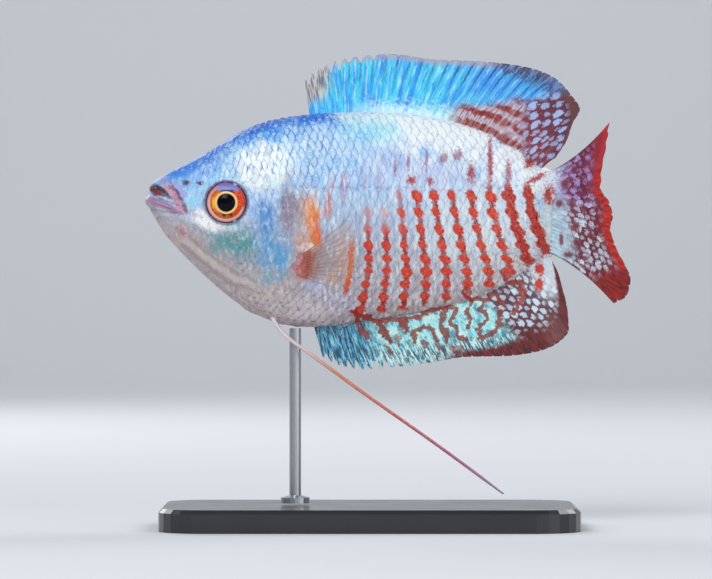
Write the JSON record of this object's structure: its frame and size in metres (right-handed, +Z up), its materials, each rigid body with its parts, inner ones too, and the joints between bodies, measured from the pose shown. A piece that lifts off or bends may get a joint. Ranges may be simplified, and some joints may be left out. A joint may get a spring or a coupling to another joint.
{
  "type": "dwarf gourami model",
  "caption": "Life-size still model of a male dwarf gourami, a small deep-bodied labyrinth fish with long thread-like pelvic feelers, held over a flat display base by a rod.",
  "frame": {"origin": "centre of the display base's underside", "axes": "+Z up, +X from the fish's snout towards its tail, the fish's left flank towards -Y"},
  "size_m": [0.0753, 0.036, 0.0727],
  "materials": {
    "scaled_skin": "pearly blue-silver scales with red cross bars",
    "cheek_skin": "pearly blue-green over grey",
    "eye": "clear gloss over an orange iris and black pupil",
    "blue_fin": "satin, turquoise with dark slits and a red rear",
    "red_fin": "satin, maroon with pale blue spots and a scarlet margin",
    "clear_fin": "clear, tan with golden rays",
    "feeler": "satin, orange fading to violet",
    "stand_base": "satin black lacquer",
    "stand_rod": "fine brushed"
  },
  "bodies": {
    "root": {"head": "scaled_skin", "gill_cover_left": "cheek_skin", "gill_cover_right": "cheek_skin", "torso": "scaled_skin", "tail_stalk": "scaled_skin", "eye_left": "eye", "eye_right": "eye", "dorsal_fin": "blue_fin", "anal_fin": "blue_fin", "tail_fin": "red_fin", "pectoral_fin_left": "clear_fin", "pectoral_fin_right": "clear_fin", "pelvic_feeler_left": "feeler", "pelvic_feeler_right": "feeler", "stand_base": "stand_base", "stand_rod": "stand_rod"}
  },
  "joints": []
}
